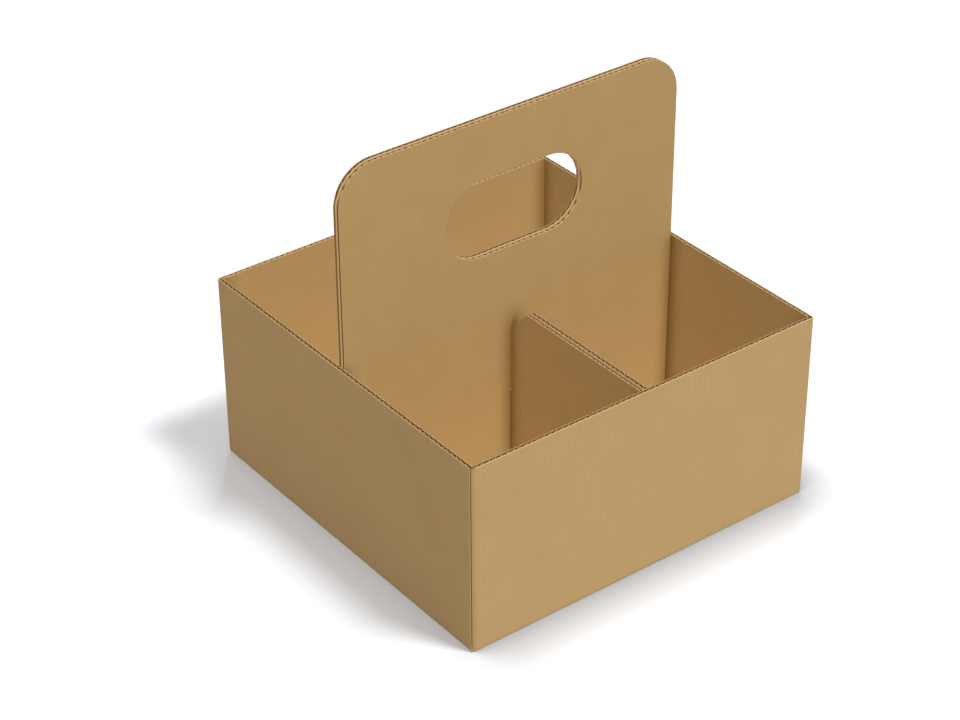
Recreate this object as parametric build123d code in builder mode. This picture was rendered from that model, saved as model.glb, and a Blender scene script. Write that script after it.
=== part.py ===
from build123d import *
import math
import os

# Four-cup carrier folded from one die-cut blank of thin corrugated board.
# The four walls are a sleeve, closed by a glue tab behind the front left corner.
# The bottom flaps of the left and right walls make the lower layer of the base
# and turn up in the middle as the two plies of the divider. The flaps of the
# front and rear walls rise onto the lower layer and turn up as the two plies of
# the handle panel. Divider and panel cross in a half-lap slot.
# Millimetres. X runs along the front wall, Y from front to rear, Z up. The origin
# is in the middle of the footprint, on the surface that the carrier stands on.

# Outside of the carrier
width = 200.0
depth = 200.0
wall_height = 100.0
handle_height = 200.0

# Board and its folds. The upright corners are crushed almost sharp.
board = 2.1
fold_inner = 0.4
corner_outer = 0.8
corner_inner = 0.2

# Room between board and board, and beside cut edges
ply_gap = 0.2
cut_gap = 0.3

# Base: where the lower layer ends before the front and rear walls, and the rise beside it
lower_layer_setback = 10.0
ramp_run = 4.6
ramp_gap = 0.6

# Handle panel
panel_corner = 20.0
hole_length = 80.0
hole_height = 40.0
hole_below_top = 30.0

# Divider, and the half-lap where it crosses the handle panel
divider_height = 98.0
lap_height = 50.0
lap_mouth = 12.0

# Glue tab, and the seam between the crushed lip of the front wall and the left wall's cut edge
tab_length = 32.0
tab_taper = 14.0
tab_below_rim = 5.0
seam_lip = 0.8
seam_gap = 0.7

# A folded strip in section: its middle line is half a board from both faces
fold_outer = fold_inner + board
fold_mid = fold_inner + board / 2
fold_end_x = width / 2 - fold_outer
fold_end_y = depth / 2 - fold_outer
ply_mid = ply_gap / 2 + board / 2
centre_fold_half = ply_gap / 2 + fold_outer
lower_layer_mid = board / 2
upper_layer_mid = board + ply_gap + board / 2
base_top = upper_layer_mid + board / 2

# Widths of the flaps, and of the slots where divider and panel pass each other
panel_half = fold_end_x - cut_gap
divider_half = fold_end_y - cut_gap
lower_layer_half = depth / 2 - lower_layer_setback
ramp_head = lower_layer_half + ramp_gap
ramp_foot = ramp_head + ramp_run
lap_half = ply_gap / 2 + board + cut_gap

# The glue tab lies against the inside of the left wall
wall_inside_x = -width / 2 + board
wall_inside_y = -depth / 2 + board
tab_face_x = wall_inside_x + ply_gap
tab_end = -depth / 2 + tab_length
tab_foot = base_top + ply_gap
tab_head = wall_height - tab_below_rim
tab_rise = (tab_end - wall_inside_y) * math.tan(math.radians(tab_taper))


def tray_form(size_x, size_y, foot, corner, fold):
    """Block from a foot height to the rim, with rounded upright edges and rounded bottom edges."""
    with BuildPart() as form:
        with BuildSketch():
            RectangleRounded(size_x, size_y, corner)
        extrude(amount=wall_height)
        for plane, size, reach in ((Plane.XZ, size_x, size_y), (Plane.YZ, size_y, size_x)):
            with BuildSketch(plane) as profile:
                with Locations((0, foot)):
                    Rectangle(size, wall_height - foot, align=(Align.CENTER, Align.MIN))
                fillet(profile.vertices().group_by(Axis.Y)[0], radius=fold)
            extrude(amount=reach / 2, both=True, mode=Mode.INTERSECT)
    return form.part


# Walls with their bottom folds, and the glue tab
with BuildPart() as walls:
    add(tray_form(width, depth, 0, corner_outer, fold_outer))
    inside_x = width - 2 * board
    inside_y = depth - 2 * board
    add(tray_form(inside_x, inside_y, board, corner_inner, fold_inner), mode=Mode.SUBTRACT)
    with BuildSketch():
        Rectangle(2 * fold_end_x, 2 * fold_end_y)
    extrude(amount=board, mode=Mode.SUBTRACT)

    # The seam runs in behind the lip, then between the left wall and the glue tab
    lip_inside_y = -depth / 2 + seam_lip
    cut_edge_y = lip_inside_y + seam_gap
    with BuildSketch() as seam:
        with BuildLine():
            Polyline(
                (-width / 2, lip_inside_y),
                (tab_face_x, lip_inside_y),
                (tab_face_x, wall_inside_y + corner_inner),
                (wall_inside_x, wall_inside_y + corner_inner),
                (wall_inside_x, cut_edge_y),
                (-width / 2, cut_edge_y),
                close=True,
            )
        make_face()
    extrude(amount=wall_height, mode=Mode.SUBTRACT)

    with BuildSketch(Plane.YZ.offset(tab_face_x)) as glue_tab:
        with BuildLine():
            Polyline(
                (wall_inside_y, tab_foot),
                (tab_end, tab_foot + tab_rise),
                (tab_end, tab_head - tab_rise),
                (wall_inside_y, tab_head),
                close=True,
            )
        make_face()
    extrude(amount=board)

# Front and rear flaps: upper layer of the base and the two plies of the handle panel
with BuildPart() as handle_flaps:
    with BuildSketch(Plane.YZ) as panel_section:
        with BuildLine():
            FilletPolyline(
                (-fold_end_y, lower_layer_mid),
                (-ramp_foot, lower_layer_mid),
                (-ramp_head, upper_layer_mid),
                (-ply_mid, upper_layer_mid),
                (-ply_mid, handle_height),
                radius=fold_mid,
            )
        trace(line_width=board)
        mirror(about=Plane.YZ)
    extrude(amount=panel_half, both=True)
    fillet(handle_flaps.edges().filter_by(Axis.Y).group_by(Axis.Z)[-1], radius=panel_corner)

    with BuildSketch(Plane.XZ) as hand_hole:
        with Locations((0, handle_height - hole_below_top - hole_height / 2)):
            SlotOverall(hole_length, hole_height)
    extrude(amount=ply_mid + board, both=True, mode=Mode.SUBTRACT)

    # Slot for the divider, from one wall fold to the other and halfway up the panel
    with BuildSketch(Plane.XZ) as divider_slot:
        Rectangle(2 * lap_half, lap_height + cut_gap, align=(Align.CENTER, Align.MIN))
    extrude(amount=fold_end_y, both=True, mode=Mode.SUBTRACT)

# Left and right flaps: lower layer of the base and the two plies of the divider
with BuildPart() as divider_flaps:
    with BuildSketch(Plane.XZ) as divider_section:
        with BuildLine():
            FilletPolyline(
                (-fold_end_x, lower_layer_mid),
                (-ply_mid, lower_layer_mid),
                (-ply_mid, divider_height),
                radius=fold_mid,
            )
        trace(line_width=board)
        mirror(about=Plane.YZ)
    extrude(amount=divider_half, both=True)

    # The divider's slot for the panel has a wide mouth
    with BuildSketch(Plane.YZ) as panel_slot:
        with BuildLine():
            Polyline(
                (-lap_half, lap_height),
                (-lap_half, divider_height - lap_mouth),
                (-lap_half - lap_mouth, divider_height),
                (lap_half + lap_mouth, divider_height),
                (lap_half, divider_height - lap_mouth),
                (lap_half, lap_height),
                close=True,
            )
        make_face()
    extrude(amount=centre_fold_half, both=True, mode=Mode.SUBTRACT)

    # Near the front and rear walls only the standing plies go on, through the slot in the flaps
    with BuildSketch() as layer_ends:
        end_length = divider_half - lower_layer_half
        with GridLocations(0, divider_half + lower_layer_half, 1, 2):
            Rectangle(2 * fold_end_x, end_length)
    extrude(amount=fold_outer, mode=Mode.SUBTRACT)

# The whole blank, joined along the bottom folds
with BuildPart() as carrier:
    add(walls.part)
    add(handle_flaps.part)
    add(divider_flaps.part)

carrier.part.label = "carrier"
os.makedirs("parts", exist_ok=True)
export_step(carrier.part, "parts/carrier.step")
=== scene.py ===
import bmesh
import bpy
import math
from mathutils import Euler, Matrix, Vector


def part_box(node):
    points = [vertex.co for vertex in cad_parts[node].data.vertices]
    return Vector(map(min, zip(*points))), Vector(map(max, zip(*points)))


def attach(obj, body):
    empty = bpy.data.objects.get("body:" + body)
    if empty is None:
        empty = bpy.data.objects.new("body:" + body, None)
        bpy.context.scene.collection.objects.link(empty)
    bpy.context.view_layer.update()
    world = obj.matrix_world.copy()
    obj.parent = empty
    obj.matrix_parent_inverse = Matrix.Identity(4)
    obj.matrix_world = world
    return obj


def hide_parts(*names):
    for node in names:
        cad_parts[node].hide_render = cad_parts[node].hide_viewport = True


# Four-cup carrier folded from one die-cut blank of corrugated board, shown as the board
# really is: an outer liner, a wavy fluting and an inner liner, each one sheet that runs
# through every wall, fold and flap. Metres. X runs along the front wall, Y from front to
# rear, Z up.

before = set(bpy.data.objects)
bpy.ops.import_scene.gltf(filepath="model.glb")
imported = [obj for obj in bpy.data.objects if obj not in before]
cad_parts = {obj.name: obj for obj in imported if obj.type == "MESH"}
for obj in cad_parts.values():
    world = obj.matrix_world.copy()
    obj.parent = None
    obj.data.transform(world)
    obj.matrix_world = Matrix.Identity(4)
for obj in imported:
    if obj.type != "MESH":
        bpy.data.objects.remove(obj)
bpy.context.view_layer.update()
low_corner, high_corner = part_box("carrier")

mm = 0.001

# Outside of the carrier
width = high_corner.x - low_corner.x
depth = high_corner.y - low_corner.y
handle_height = high_corner.z
wall_height = 100 * mm

# Board and its folds. The upright corners are crushed almost sharp, the bottom folds creased.
board = 2.1 * mm
fold_inner = 0.4 * mm
crease_round = 0.8 * mm
corner_outer = 0.8 * mm
corner_inner = 0.2 * mm
ply_gap = 0.2 * mm
cut_gap = 0.3 * mm

# What the board is made of: two liners with a wavy fluting between them
liner = 0.36 * mm
fluting = 0.22 * mm
flute_pitch = 3.33 * mm
glue_depth = 0.03 * mm
trough_flatness = 0.25
flute_wander = 0.35
flute_wander_lengths = (31 * mm, 11.7 * mm, 5.3 * mm)

# Shares of a liner's thickness by which the die has pressed its cut edges back
outer_lean_share = 0.85
inner_lean_share = 0.33

# How finely the sheets are divided, and how near two places are one place
columns_per_flute = 9
rows_per_fold = 4
liner_column = 4 * mm
column_room_share = 0.25
column_slack = 0.021 * mm
speck = 0.0001 * mm
weld_digits = 6
stop_digits = 8

# Cut edges that turn back further than this cosine stay as they are
sharpest_turn = -0.5
shading_edge = math.radians(34)

# Base: where the lower layer ends before the front and rear walls, and the rise beside it
lower_layer_setback = 10 * mm
ramp_run = 4.6 * mm
ramp_gap = 0.6 * mm

# Handle panel
panel_corner = 20 * mm
hole_length = 80 * mm
hole_height = 40 * mm
hole_below_top = 30 * mm
curve_columns = 14

# Divider, and the half-lap where it crosses the handle panel
divider_height = 98 * mm
lap_height = 50 * mm
lap_mouth = 12 * mm

# Glue tab, and the seam between the crushed lip of the front wall and the left wall's cut edge
tab_length = 32 * mm
tab_taper = math.radians(14)
tab_below_rim = 5 * mm
tab_overlap = 0.1 * mm
seam_lip = 0.8 * mm
seam_gap = 0.7 * mm
lip_run = 0.3 * mm

# Middle lines of walls, plies and base layers
fold_mid = fold_inner + board / 2
fold_outer = fold_inner + board
wall_mid_x = width / 2 - board / 2
wall_mid_y = depth / 2 - board / 2
ply_mid = ply_gap / 2 + board / 2
lower_layer_mid = board / 2
upper_layer_mid = board + ply_gap + board / 2
base_top = upper_layer_mid + board / 2

# Widths of the flaps and slots, and how far an upright fold reaches into a wall
panel_half = width / 2 - fold_outer - cut_gap
divider_half = depth / 2 - fold_outer - cut_gap
lower_layer_half = depth / 2 - lower_layer_setback
ramp_head = lower_layer_half + ramp_gap
ramp_foot = ramp_head + ramp_run
lap_half = ply_gap / 2 + board + cut_gap
corner_reach = wall_mid_x - panel_half

# Seam and glue tab
cut_edge_y = -depth / 2 + seam_lip + seam_gap
lip_length = board + ply_gap
tab_mid_x = -wall_mid_x + board + ply_gap
tab_foot = base_top + ply_gap
tab_head = wall_height - tab_below_rim
tab_flat = tab_length - board


class Sleeve:
    """The four walls in plan, along the board's middle line from the front wall's lip."""

    def __init__(self, corners):
        corners = [Vector(corner) for corner in corners]
        self.sides = []
        begin = 0
        for here, there in zip(corners, corners[1:]):
            heading = (there - here).normalized()
            start = here if here is corners[0] else here + heading * corner_reach
            end = there if there is corners[-1] else there - heading * corner_reach
            length = (end - start).length
            self.sides.append((begin, start, heading, length))
            begin += length + 2 * corner_reach
        self.length = begin - 2 * corner_reach

    def at(self, u, n):
        """The point at a distance u along the sleeve and n outwards from its middle line."""
        u = min(max(u, 0), self.length)
        for side, (begin, start, heading, length) in enumerate(self.sides):
            if u < begin + length + 2 * corner_reach:
                break
        outward = Vector((heading.y, -heading.x))
        if u <= begin + length or side == len(self.sides) - 1:
            return start + heading * (u - begin) + outward * n

        # A fold: a third of it straight, a third round the corner and a third straight
        radius = max(corner_outer - board / 2 + n, corner_inner)
        lead = corner_reach + n - radius
        onward = -outward
        third = 3 * (u - begin - length) / (2 * corner_reach)
        bend_start = start + heading * (length + lead) + outward * n
        if third < 1:
            return bend_start - heading * lead * (1 - third)
        centre = bend_start - outward * radius
        angle = min(third - 1, 1) * math.pi / 2
        point = centre + (outward * math.cos(angle) + heading * math.sin(angle)) * radius
        return point + onward * lead * max(third - 2, 0)

    def stations(self):
        """Distances at which a side or a third of a fold ends, with the folds' middles divided."""
        found = [self.length]
        third = corner_reach * 2 / 3
        for begin, start, heading, length in self.sides:
            found.append(begin)
            if begin:
                bend_start = begin - 2 * third
                found += [begin - 3 * third]
                found += [bend_start + third * i / rows_per_fold for i in range(rows_per_fold + 1)]
        return found


sleeve = Sleeve(
    [
        (-width / 2, -wall_mid_y),
        (wall_mid_x, -wall_mid_y),
        (wall_mid_x, wall_mid_y),
        (-wall_mid_x, wall_mid_y),
        (-wall_mid_x, cut_edge_y),
    ]
)
FRONT, RIGHT, REAR, LEFT = range(4)


class BentLine:
    """A line through corners, bent round a fold of one radius at each corner."""

    def __init__(self, corners, radius):
        corners = [Vector(corner) for corner in corners]
        self.runs = []
        self.length = 0
        start = corners[0]
        for here, there in zip(corners[1:], corners[2:]):
            heading = (here - start).normalized()
            turned = (there - here).normalized()
            angle = math.atan2(heading.cross(turned), heading.dot(turned))
            reach = radius * math.tan(abs(angle) / 2)
            self.add(start, heading, max((here - start).length - reach, 0), 0)
            bend = math.copysign(1 / radius, angle)
            self.add(here - heading * reach, heading, radius * abs(angle), bend)
            start = here + turned * reach
        last = corners[-1] - start
        self.add(start, last.normalized(), last.length, 0)

    def add(self, start, heading, length, bend):
        self.runs.append((self.length, start, heading, bend, length))
        self.length += length

    def at(self, distance):
        """(point, direction to the right of the line) at a distance along it."""
        for begin, start, heading, bend, length in self.runs:
            if distance <= begin + length:
                break
        along = distance - begin
        left = Vector((-heading.y, heading.x))
        if not bend:
            return start + heading * along, -left
        angle = along * bend
        point = start + (heading * math.sin(angle) + left * (1 - math.cos(angle))) / bend
        return point, heading * math.sin(angle) - left * math.cos(angle)

    def stations(self):
        """Distances of the ends of every run, with the folds divided."""
        found = [self.length]
        for begin, start, heading, bend, length in self.runs:
            turns = abs(bend) * length / (math.pi / 2)
            steps = max(1, round(turns * rows_per_fold))
            found += [begin + length * i / steps for i in range(steps)]
        return found


def crushed(u, n):
    """Depth in the board, which is pressed thin against its outer face along the lip."""
    share = min(max((u - lip_length) / lip_run, 0), 1)
    thickness = seam_lip + (board - seam_lip) * share
    return board / 2 - (board / 2 - n) * thickness / board


def creased(out, down):
    """A place in a bottom fold, from the fold's centre: the outer face is creased to an edge.

    It moves away from the centre, all the way on the outer face and not at all on the inner one.
    """
    if min(out, down) <= 0:
        return out, down
    radius = math.hypot(out, down)
    way_out, way_down = out / radius, down / radius

    # How far the creased outline is from the centre this way: on a flat side or on its round edge
    flat = fold_outer - crease_round
    if min(out, down) / max(out, down) < flat / fold_outer:
        reach = fold_outer / max(way_out, way_down)
    else:
        along = (way_out + way_down) * flat
        reach = along + math.sqrt(along**2 - 2 * flat**2 + crease_round**2)
    share = (radius - fold_inner) / board
    stretch = 1 + share * (reach / fold_outer - 1)
    return out * stretch, down * stretch


class Walls:
    """The walls: u is the distance along the sleeve, t the height, less than true in the fold."""

    def place(self, u, t, n):
        n = crushed(u, n)
        if t < fold_outer:
            angle = (fold_outer - t) / fold_mid
            radius = fold_mid + n
            out, down = creased(radius * math.cos(angle), radius * math.sin(angle))
            t = fold_outer - down
            n = out - fold_mid
        point = sleeve.at(u, n)
        return Vector((point.x, point.y, t))

    def on_blank(self, u, t):
        return (u, t)


class Tab:
    """The glue tab inside the left wall: -u is the distance from the front wall, t the height."""

    def place(self, u, t, n):
        return Vector((tab_mid_x - n, -depth / 2 + board - tab_overlap - u, t))

    def on_blank(self, u, t):
        return (u, t)


class Flap:
    """The bottom flap of a wall: u is the distance along the sleeve, t that from the wall."""

    def __init__(self, side, wall_mid, corners):
        self.begin, start, self.heading, length = sleeve.sides[side]
        self.outward = Vector((self.heading.y, -self.heading.x))
        self.across_start = start.dot(self.heading)
        wall_foot = [(-wall_mid, fold_outer), (-wall_mid, lower_layer_mid)]
        self.line = BentLine(wall_foot + corners, fold_mid)
        self.fold_centre = fold_mid - wall_mid

        # The line runs down the wall's foot, round the fold and on through the base
        foot_run, fold_run, base_run = self.line.runs[:3]
        self.fold_end = base_run[0]
        begin, start, heading, bend, length = self.line.runs[-1]
        self.stand, self.stand_height = begin, start.y

    def u(self, across):
        """Distance along the sleeve of a place across the flap, measured from its middle."""
        return self.begin + across - self.across_start

    def across(self, u):
        return self.across_start + u - self.begin

    def up_to(self, height):
        """Distance from the wall at which the standing ply reaches a height."""
        return self.stand + height - self.stand_height

    def place(self, u, t, n):
        point, right = self.line.at(t)
        point = point + right * n
        if t < self.fold_end:
            out, down = creased(self.fold_centre - point.x, fold_outer - point.y)
            point = Vector((self.fold_centre - out, fold_outer - down))
        flat = self.heading * self.across(u) - self.outward * point.x
        return Vector((flat.x, flat.y, point.y))

    def on_blank(self, u, t):
        return (u, fold_outer - t)


class Sheet:
    """A sheet of the board, laid out in patches and then given its two faces and its cut edges."""

    def __init__(self, column_step):
        self.spots = []
        self.numbers = {}
        self.faces = []
        first = -int(tab_flat / column_step)
        grid = [column_step * i for i in range(first, int(sleeve.length / column_step) + 1)]
        room = column_step * column_room_share
        kept = [g for g in grid if min(abs(g - s) for s in stops) > room]
        self.columns = sorted(kept + stops)

    def spot(self, part, u, t):
        """The number of a place on the sheet. Places that meet when folded are one spot."""
        key = tuple(round(c, weld_digits) for c in part.place(u, t, 0))
        if key not in self.numbers:
            self.numbers[key] = len(self.spots)
            self.spots.append((part, u, t))
        return self.numbers[key]

    def patch(self, part, start, end, rows, low=None, high=None):
        """Faces between two distances along the sleeve. Rows are cut off at low(u) and high(u)."""
        grid = []
        for u in (c for c in self.columns if start - column_slack < c < end + column_slack):
            floor = low(u) if low else rows[0]
            ceiling = high(u) if high else rows[-1]
            grid.append([self.spot(part, u, min(max(t, floor), ceiling)) for t in rows])
        for here, there in zip(grid, grid[1:]):
            for a, b, c, d in zip(here, there, there[1:], here[1:]):
                corners = list(dict.fromkeys((a, b, c, d)))
                if len(corners) > 2:
                    self.faces.append(corners)

    def rim_shifts(self, rims, points):
        """The way into the sheet from each spot on a cut edge, so that both its edges move by 1."""
        middles = {}
        for face in self.faces:
            middle = sum((points[i] for i in face), Vector()) / len(face)
            middles.update({edge: middle for edge in zip(face, face[1:] + face[:1])})
        inward = {}
        for a, b in rims:
            along = (points[b] - points[a]).normalized()
            across = middles[a, b] - points[a]
            across = (across - along * across.dot(along)).normalized()
            for i in (a, b):
                inward.setdefault(i, []).append(across)
        shifts = {}
        for i, ways in inward.items():
            if len(ways) == 2 and ways[0].dot(ways[1]) > sharpest_turn:
                shifts[i] = (ways[0] + ways[1]) / (1 + ways[0].dot(ways[1]))
        return shifts

    def mesh(self, name, inner, outer, inner_lean=0, outer_lean=0):
        """The sheet between two faces, each a function of u that gives (shifted u, depth).

        On a face with a lean, the die has pressed the cut edges back by that share of the
        sheet's thickness, though never out of the carrier's box.
        """
        points = []
        for face in (inner, outer):
            points += [part.place(face(u)[0], t, face(u)[1]) for part, u, t in self.spots]
        count = len(self.spots)
        uses = {}
        for face in self.faces:
            for a, b in zip(face, face[1:] + face[:1]):
                uses.setdefault((min(a, b), max(a, b)), []).append((a, b))
        rims = [edge for both in uses.values() if len(both) == 1 for edge in both]
        thickness = [(a - b).length for a, b in zip(points, points[count:])]
        for first, lean in ((0, inner_lean), (count, outer_lean)):
            shifts = self.rim_shifts(rims, points[first:first + count])
            for i, shift in shifts.items():
                moved = points[first + i] + shift * thickness[i] * lean
                limits = zip(moved, low_corner, high_corner)
                points[first + i] = Vector([min(max(c, low), high) for c, low, high in limits])
        faces = [face[::-1] for face in self.faces]
        faces += [[i + count for i in face] for face in self.faces]
        faces += [[a, b, b + count, a + count] for a, b in rims]

        data = bpy.data.meshes.new(name)
        data.from_pydata(points, [], faces)
        layout = data.uv_layers.new(name="blank")
        for loop, where in zip(data.loops, layout.data):
            part, u, t = self.spots[loop.vertex_index % count]
            where.uv = part.on_blank(u, t)
        for face in data.polygons:
            face.material_index = int(face.index >= 2 * len(self.faces))
            face.use_smooth = True

        work = bmesh.new()
        work.from_mesh(data)
        bmesh.ops.recalc_face_normals(work, faces=work.faces)
        work.to_mesh(data)
        work.free()
        data.set_sharp_from_angle(angle=shading_edge)
        made = bpy.data.objects.new(name, data)
        bpy.context.scene.collection.objects.link(made)
        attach(made, "root")
        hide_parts("carrier")
        return made


walls = Walls()
tab = Tab()
front_flap, rear_flap = [
    Flap(
        side,
        wall_mid_y,
        [
            (-ramp_foot, lower_layer_mid),
            (-ramp_head, upper_layer_mid),
            (-ply_mid, upper_layer_mid),
            (-ply_mid, handle_height),
        ],
    )
    for side in (FRONT, REAR)
]
right_flap, left_flap = [
    Flap(side, wall_mid_x, [(-ply_mid, lower_layer_mid), (-ply_mid, divider_height)])
    for side in (RIGHT, LEFT)
]

hole_mid = handle_height - hole_below_top - hole_height / 2
hole_round = hole_height / 2
hole_straight = hole_length / 2 - hole_round
corner_start = panel_half - panel_corner
mouth_end = lap_half + lap_mouth


def bulge(distance, radius):
    """Half the height of a circle at a distance from its middle."""
    if distance > radius - speck:
        return 0
    return math.sqrt(radius**2 - max(0, distance) ** 2)


def hole_half(across):
    return bulge(abs(across) - hole_straight, hole_round)


def panel_top(across):
    return handle_height - panel_corner + bulge(abs(across) - corner_start, panel_corner)


def divider_top(across):
    return min(divider_height, divider_height - mouth_end + abs(across))


def foot(distance):
    """The lowest row of a wall at a distance from the corner where the other wall's fold is."""
    angle = math.acos(1 - min(distance / fold_outer, 1))
    return fold_outer - fold_mid * angle


# Distances along the sleeve that the columns of every sheet keep to
stops = set(sleeve.stations())
for flap in (front_flap, rear_flap):
    quarter = [math.sin(math.pi / 2 * i / curve_columns) for i in range(curve_columns + 1)]
    edges = [lap_half, hole_straight, hole_length / 2, corner_start, panel_half]
    edges += [hole_straight + hole_round * share for share in quarter]
    edges += [corner_start + panel_corner * share for share in quarter]
    stops |= {flap.u(side * edge) for edge in edges for side in (-1, 1)}
for flap in (right_flap, left_flap):
    edges = [lap_half, mouth_end, divider_half, lower_layer_half]
    stops |= {flap.u(side * edge) for edge in edges for side in (-1, 1)}
fold_angles = [math.pi / 2 * i / rows_per_fold for i in range(rows_per_fold + 1)]
fold_steps = [fold_outer * (1 - math.cos(angle)) for angle in fold_angles]
stops |= {lip_length, lip_length + lip_run, -tab_flat, *fold_steps}
stops |= {left_flap.u(depth / 2 - step) for step in fold_steps if step > seam_lip + seam_gap}
stops = sorted({round(stop, stop_digits) for stop in stops})


def blank(column_step):
    """The whole die-cut blank as one sheet, folded."""
    sheet = Sheet(column_step)
    fold_length = fold_mid * math.pi / 2
    fold_rows = [fold_outer - fold_length * i / rows_per_fold for i in range(rows_per_fold, -1, -1)]
    wall_rows = [fold_outer, wall_height]

    # Walls, and the folds between them, which the bottom fold goes round
    for begin, start, heading, length in sleeve.sides:
        sheet.patch(walls, begin, begin + length, wall_rows)
        if begin:
            sheet.patch(walls, begin - 2 * corner_reach, begin, fold_rows + [wall_height])

    # Ends of the front and left walls at the seam, rounded off at the bottom
    sheet.patch(walls, 0, front_flap.u(-panel_half), fold_rows, low=foot)
    sheet.patch(
        walls,
        left_flap.u(divider_half),
        sleeve.length,
        fold_rows,
        low=lambda u: foot(depth / 2 - left_flap.across(u)),
    )

    # Glue tab, tapered at its top and bottom
    taper = math.tan(tab_taper)
    sheet.patch(
        tab,
        -tab_flat,
        0,
        [tab_foot, tab_head],
        low=lambda u: tab_foot - u * taper,
        high=lambda u: tab_head + u * taper,
    )

    # Front and rear flaps, with the hand hole, the slot for the divider and the round corners
    for flap in (front_flap, rear_flap):
        slot_top = flap.up_to(lap_height + cut_gap)
        middle = flap.up_to(hole_mid)
        rows = sorted(set(flap.line.stations() + [slot_top, middle]))

        def panel_patch(start, end, bottom, top, low=None, high=None):
            kept = [row for row in rows if bottom <= row <= top]
            sheet.patch(flap, flap.u(start), flap.u(end), kept, low, high)

        def edge_top(u):
            return flap.up_to(panel_top(flap.across(u)))

        def below_hole(u):
            return middle - hole_half(flap.across(u))

        def above_hole(u):
            return middle + hole_half(flap.across(u))

        hole_end = hole_length / 2
        top = rows[-1]
        panel_patch(-panel_half, -hole_end, 0, top, high=edge_top)
        panel_patch(hole_end, panel_half, 0, top, high=edge_top)
        panel_patch(-hole_end, -lap_half, 0, middle, high=below_hole)
        panel_patch(lap_half, hole_end, 0, middle, high=below_hole)
        panel_patch(-lap_half, lap_half, 0, flap.fold_end)
        panel_patch(-lap_half, lap_half, slot_top, middle, high=below_hole)
        panel_patch(-hole_end, hole_end, middle, top, low=above_hole)

    # Left and right flaps, with the divider's half-lap. Near the front and rear walls they
    # have no lower layer, and only the standing plies go on.
    for flap in (right_flap, left_flap):
        heights = (fold_outer, lap_height, divider_height - lap_mouth)
        rows = sorted(set(flap.line.stations() + [flap.up_to(height) for height in heights]))
        wall_fold_rows = [row for row in rows if row <= flap.fold_end]
        ply_rows = [row for row in rows if row >= flap.up_to(fold_outer)]
        lap_rows = [row for row in rows if row <= flap.up_to(lap_height)]

        def edge_top(u):
            return flap.up_to(divider_top(flap.across(u)))

        for side in (-1, 1):
            for kept, near, far in (
                (rows, lap_half, lower_layer_half),
                (wall_fold_rows, lower_layer_half, divider_half),
                (ply_rows, lower_layer_half, divider_half),
            ):
                high = edge_top if kept is rows else None
                ends = sorted((flap.u(side * near), flap.u(side * far)))
                sheet.patch(flap, ends[0], ends[1], kept, high=high)
        sheet.patch(flap, flap.u(-lap_half), flap.u(lap_half), lap_rows)
    return sheet


def flute(u):
    """(depth, slope) of the middle of the fluting: narrow crests outside, wide troughs inside.

    The flutes wander a little, as real ones do.
    """
    phase = math.tau * u / flute_pitch
    rate = math.tau / flute_pitch
    for length in flute_wander_lengths:
        phase += flute_wander * math.sin(math.tau * u / length)
        rate += flute_wander * math.cos(math.tau * u / length) * math.tau / length
    reach = (board - fluting) / 2 - liner + glue_depth
    depth = math.cos(phase) + trough_flatness * (math.cos(2 * phase) - 1)
    slope = -math.sin(phase) - 2 * trough_flatness * math.sin(2 * phase)
    return reach * depth, reach * slope * rate


def fluting_face(side):
    """A face of the fluting, half its thickness away from its middle, squarely to the wave."""

    def face(u):
        depth, slope = flute(u)
        half = side * fluting / 2 / math.hypot(1, slope)
        return u - half * slope, depth + half

    return face


def level(depth):
    """A flat face of a liner at one depth in the board."""
    return lambda u: (u, depth)


liners = blank(liner_column)
outer_faces = (level(board / 2 - liner), level(board / 2))
inner_faces = (level(-board / 2), level(liner - board / 2))
outer_liner = liners.mesh("outer_liner", *outer_faces, outer_lean=outer_lean_share)
inner_liner = liners.mesh("inner_liner", *inner_faces, inner_lean=inner_lean_share)
waves = blank(flute_pitch / columns_per_flute)
flutes = waves.mesh("fluting", fluting_face(-1), fluting_face(1))


# The Mix node has sockets of the same names for each kind of value. These are its colour ones.
MIX_FIRST = 6
MIX_SECOND = 7
MIX_RESULT = 2


class Graph:
    """Nodes of one material, added with their inputs in one call each."""

    def __init__(self, material):
        material.use_nodes = True
        self.tree = material.node_tree
        self.shader = self.tree.nodes["Principled BSDF"]

    def node(self, kind, inputs, output=0, **settings):
        made = self.tree.nodes.new("ShaderNode" + kind)
        for name, value in settings.items():
            setattr(made, name, value)
        for name, value in inputs.items():
            self.set(made.inputs[name], value)
        return made.outputs[output]

    def set(self, socket, value):
        if isinstance(value, bpy.types.NodeSocket):
            self.tree.links.new(value, socket)
        else:
            socket.default_value = value

    def math(self, operation, first, second):
        return self.node("Math", {0: first, 1: second}, operation=operation)

    def between(self, value, start, end):
        """0 below start, 1 above end, and a smooth step from one to the other."""
        return self.node(
            "MapRange",
            {"Value": value, "From Min": start, "From Max": end},
            interpolation_type="SMOOTHSTEP",
        )

    def mix(self, factor, first, second):
        return self.node(
            "Mix",
            {"Factor": factor, MIX_FIRST: first, MIX_SECOND: second},
            output=MIX_RESULT,
            data_type="RGBA",
        )

    def noise(self, where, scale, detail=2, roughness=0.5, distortion=0):
        settings = {"Vector": where, "Scale": scale, "Detail": detail}
        settings |= {"Roughness": roughness, "Distortion": distortion}
        return self.node("TexNoise", settings)

    def fibres(self, where, angle, length, thickness, start, end):
        """Short strands at one angle to the flutes, about as long and as thick as given, in mm."""
        turned = self.node(
            "Mapping",
            {"Vector": where, "Rotation": (0, 0, angle), "Scale": (1 / length, 1 / thickness, 1)},
        )
        strands = self.noise(turned, 1, detail=strand_detail, distortion=strand_distortion)
        return self.between(strands, start, end)


# The curve of sRGB: a straight toe, then a power
srgb_white = 255
toe_end = 0.04045
toe_slope = 12.92
curve_offset = 0.055
curve_power = 2.4


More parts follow.
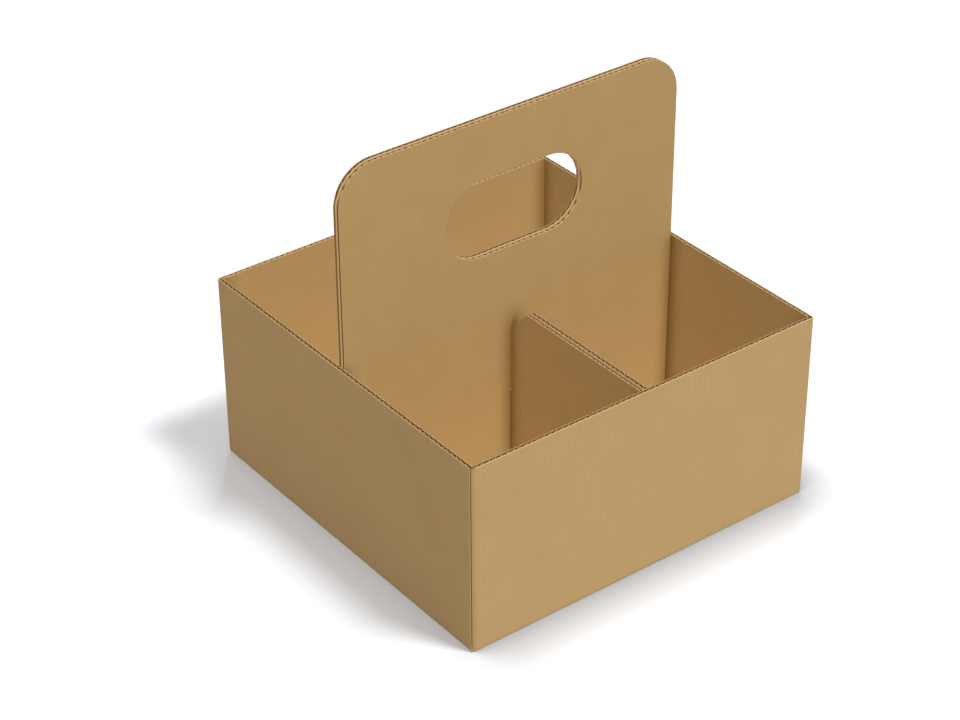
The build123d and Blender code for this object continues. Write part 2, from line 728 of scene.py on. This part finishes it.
def linear(red, green, blue):
    """An sRGB colour of 0 to 255 as the linear colour that shaders take."""

    def level_of(share):
        if share <= toe_end:
            return share / toe_slope
        return ((share + curve_offset) / (1 + curve_offset)) ** curve_power

    return (*[level_of(channel / srgb_white) for channel in (red, green, blue)], 1)


# Marks in the paper. Scales of noise are per millimetre, sizes of strands in millimetres, and
# starts and ends are the levels of noise between which a mark comes up.
cloud_noise = {"scale": 0.045, "detail": 3}
mottling_noise = {"scale": 0.9, "detail": 5, "roughness": 0.65}
speck_noise = {"scale": 1.7, "detail": 1}
strand_detail = 1.5
strand_distortion = 0.4
dark_strand = {"angle": 0.22, "length": 2.4, "thickness": 0.28, "start": 0.62, "end": 0.74}
pale_strand = {"angle": -0.35, "length": 1.9, "thickness": 0.24, "start": 0.6, "end": 0.72}
stray_strand = {"angle": 1.2, "length": 1.6, "thickness": 0.22, "start": 0.64, "end": 0.72}
cloud_levels = (0.25, 0.75)
ridge_levels = (0.3, 0.7)
speck_levels = (0.72, 0.8)

# How strongly the marks show
even_share = 0.93
mottling_share = 0.35
dark_strand_share = 0.3
pale_strand_share = 0.33
stray_strand_share = 0.3
speck_share = 0.6
# Painted shade along the pressed lip at the seam
lip_fade_share = 0.8
lip_painted_shade_share = 0.3

# Surface of the paper
rough_levels = (0.3, 0.7)
roughness = (0.78, 0.92)
gloss = 0.25
strand_relief_share = 0.5
ridge_relief_share = 0.6
relief_strength = 0.5
relief_height = 0.03 * mm

# How far the painted shade reaches from another part of the board, and from which openness it fades
corner_shade = 10.5 * mm
shaded_openness = (0.35, 1.0)
corner_samples = 6


def paper(name, colour, dark, pale, ridges=0, painted_shade=None):
    """Unbleached paper with clouds, mottling, strands of fibre and the faint ridges of the flutes.

    Where another part of the board stands close by, it goes over to a painted shade colour.
    """
    material = bpy.data.materials.new(name)
    graph = Graph(material)
    blank_map = graph.node("UVMap", {}, uv_map="blank")
    in_mm = graph.node("VectorMath", {0: blank_map, "Scale": 1 / mm}, operation="SCALE")
    solid = graph.node("TexCoord", {}, output="Object")
    solid_mm = graph.node("VectorMath", {0: solid, "Scale": 1 / mm}, operation="SCALE")

    clouds = graph.noise(solid_mm, **cloud_noise)
    mottling = graph.noise(solid_mm, **mottling_noise)
    dark_strands = graph.fibres(in_mm, **dark_strand)
    pale_strands = graph.fibres(in_mm, **pale_strand)
    stray_strands = graph.fibres(in_mm, **stray_strand)
    specks = graph.between(graph.noise(solid_mm, **speck_noise), *speck_levels)

    along = graph.node("SeparateXYZ", {0: in_mm})
    turns = graph.math("MULTIPLY", along, math.tau * mm / flute_pitch)
    ridge = graph.node("Math", {0: turns}, operation="COSINE")
    uneven = graph.math("MULTIPLY", ridge, graph.between(clouds, *ridge_levels))

    shade = graph.mix(graph.between(clouds, *cloud_levels), dark, pale)
    shade = graph.mix(even_share, shade, colour)
    for marks, share, tint in (
        (mottling, mottling_share, colour),
        (dark_strands, dark_strand_share, dark),
        (pale_strands, pale_strand_share, pale),
        (stray_strands, stray_strand_share, pale),
        (specks, speck_share, dark),
        # Painted shade of the flute ridges: darker stripes along the flutes, besides their relief
        (graph.math("ADD", uneven, 1), ridges, dark),
    ):
        shade = graph.mix(graph.math("MULTIPLY", marks, share), shade, tint)

    # Painted shade: the paper is darker along the lip at the seam, where it is pressed flat
    lip_end = lip_length / mm
    beyond_lip = graph.between(along, lip_end * lip_fade_share, lip_end)
    on_lip = graph.math("SUBTRACT", 1, beyond_lip)
    shade = graph.mix(graph.math("MULTIPLY", on_lip, lip_painted_shade_share), shade, dark)

    # Painted shade: where another part of the board stands close by, the colour goes over to a
    # darker colour
    if painted_shade:
        reach = {"Distance": corner_shade}
        openness = graph.node("AmbientOcclusion", reach, output="AO", samples=corner_samples)
        openness = graph.between(openness, *shaded_openness)
        shade = graph.mix(openness, painted_shade, shade)
    graph.set(graph.shader.inputs["Base Color"], shade)

    levels = {"From Min": rough_levels[0], "From Max": rough_levels[1]}
    levels |= {"To Min": roughness[0], "To Max": roughness[1]}
    rough = graph.node("MapRange", {"Value": mottling, **levels})
    graph.set(graph.shader.inputs["Roughness"], rough)
    graph.set(graph.shader.inputs["Specular IOR Level"], gloss)

    height = graph.math("ADD", mottling, graph.math("MULTIPLY", pale_strands, strand_relief_share))
    height = graph.math("ADD", height, graph.math("MULTIPLY", uneven, ridge_relief_share))
    relief = {"Height": height, "Strength": relief_strength, "Distance": relief_height}
    graph.set(graph.shader.inputs["Normal"], graph.node("Bump", relief))
    return material


outside_paper = paper(
    "outside_paper",
    colour=linear(184, 151, 102),
    dark=linear(150, 117, 72),
    pale=linear(206, 176, 130),
    ridges=0.05,
)
inside_paper = paper(
    "inside_paper",
    colour=linear(172, 141, 91),
    dark=linear(142, 109, 63),
    pale=linear(194, 165, 117),
    ridges=0.015,
    # Painted shade colour for inside corners and where parts of the board meet
    painted_shade=linear(122, 90, 38),
)
fluting_paper = paper(
    "fluting_paper",
    colour=linear(144, 108, 58),
    dark=linear(116, 84, 42),
    pale=linear(166, 132, 82),
    # Painted shade colour deep in the flutes and where parts of the board meet
    painted_shade=linear(98, 64, 25),
)
cut_paper = paper(
    "cut_paper",
    colour=linear(194, 161, 112),
    dark=linear(160, 128, 82),
    pale=linear(214, 184, 138),
)
for made, face_paper in (
    (outer_liner, outside_paper),
    (inner_liner, inside_paper),
    (flutes, fluting_paper),
):
    made.data.materials.append(face_paper)
    made.data.materials.append(cut_paper)

# Floor: pale to the camera, with a painted soft shadow round the carrier's foot, and a darker grey
# to the light that it sends back onto the walls
floor_size = 8.0
floor_pale = (0.785, 0.8, 0.83, 1)
floor_bounce = (0.3, 0.3, 0.3, 1)
painted_shadow_reach = 28 * mm
painted_shadow_lean = {"X": -0.65, "Y": 0.29, "Z": 0.7}
painted_shadow_samples = 8
floor_data = bpy.data.meshes.new("floor")
half = floor_size / 2
floor_corners = [(-half, -half, 0), (half, -half, 0), (half, half, 0), (-half, half, 0)]
floor_data.from_pydata(floor_corners, [], [(0, 1, 2, 3)])
floor = bpy.data.objects.new("floor", floor_data)
bpy.context.scene.collection.objects.link(floor)
floor_material = bpy.data.materials.new("floor")
floor_graph = Graph(floor_material)
camera_ray = floor_graph.node("LightPath", {})
# Painted shadow: the floor's colour darkens near the carrier, more before its front than beside its
# left
painted_shadow = floor_graph.node(
    "AmbientOcclusion",
    {
        "Color": floor_pale,
        "Distance": painted_shadow_reach,
        "Normal": floor_graph.node("CombineXYZ", painted_shadow_lean),
    },
    samples=painted_shadow_samples,
)
floor_shade = floor_graph.mix(camera_ray, floor_bounce, painted_shadow)
floor_graph.set(floor_graph.shader.inputs["Base Color"], floor_shade)
floor_graph.set(floor_graph.shader.inputs["Roughness"], 1)
floor_graph.set(floor_graph.shader.inputs["Specular IOR Level"], 0)
floor_data.materials.append(floor_material)


def lamp(name, direction, level, angle, shadow=False, lit=None):
    """A far lamp. It brings a white face that is turned squarely to it to this level of white.

    It lights everything, or only the objects in lit.
    """
    data = bpy.data.lights.new(name, "SUN")
    data.energy = level * math.pi
    data.angle = math.radians(angle)
    data.use_shadow = shadow
    made = bpy.data.objects.new(name, data)
    made.rotation_euler = Vector(direction).to_track_quat("Z", "Y").to_euler()
    bpy.context.scene.collection.objects.link(made)
    if lit:
        receivers = bpy.data.collections.new(name)
        for receiver in lit:
            receivers.objects.link(receiver)
        made.light_linking.receiver_collection = receivers


# A high lamp at the front right makes the soft shadow on the floor. The carrier itself is lit
# evenly, down into its cells: from the same place, from beside the camera and, for its far
# sides, a little from the back right
carrier = [outer_liner, inner_liner, flutes]
high = (0.22, -0.39, 0.88)
lamp("floor_key", direction=high, level=0.73, angle=13, shadow=True, lit=[floor])
lamp("floor_fill", direction=(-0.471, -0.625, 0.622), level=0.74, angle=4, lit=[floor])
lamp("key", direction=high, level=0.73, angle=13, lit=carrier)
lamp("fill", direction=(-0.59, -0.767, 0.251), level=0.575, angle=4, lit=carrier)
lamp("rear", direction=(0.68, 0.68, 0.27), level=0.42, angle=20)

# An even white room, in which the backdrop is plain white
room_level = 0.18
world = bpy.data.worlds.new("room")
world.use_nodes = True
bpy.context.scene.world = world
room = world.node_tree
background = room.nodes["Background"]
background.inputs["Color"].default_value = (1, 1, 1, 1)
rays = room.nodes.new("ShaderNodeLightPath")
seen = rays.outputs["Is Camera Ray"]
for kind in ("Is Glossy Ray", "Is Transmission Ray"):
    either = room.nodes.new("ShaderNodeMath")
    either.operation = "MAXIMUM"
    room.links.new(seen, either.inputs[0])
    room.links.new(rays.outputs[kind], either.inputs[1])
    seen = either.outputs["Value"]
backdrop = room.nodes.new("ShaderNodeMapRange")
room.links.new(seen, backdrop.inputs["Value"])
backdrop.inputs["To Min"].default_value = room_level
backdrop.inputs["To Max"].default_value = 1
room.links.new(backdrop.outputs["Result"], background.inputs["Strength"])

# Camera of the photograph
camera_place = Vector((-0.6313, -0.8047, 0.7268))
camera_heading = math.radians(37.27)
camera_dip = math.radians(32.91)
camera_roll = math.radians(-0.33)
camera_data = bpy.data.cameras.new("camera")
camera_data.sensor_width = 36
camera_data.lens = 95.57
camera = bpy.data.objects.new("camera", camera_data)
turn = Euler((math.pi / 2 - camera_dip, 0, -camera_heading)).to_matrix()
turn = turn @ Matrix.Rotation(camera_roll, 3, "Z")
camera.matrix_world = Matrix.Translation(camera_place) @ turn.to_4x4()
bpy.context.scene.collection.objects.link(camera)
bpy.context.scene.camera = camera
bpy.context.scene.view_settings.view_transform = "Standard"
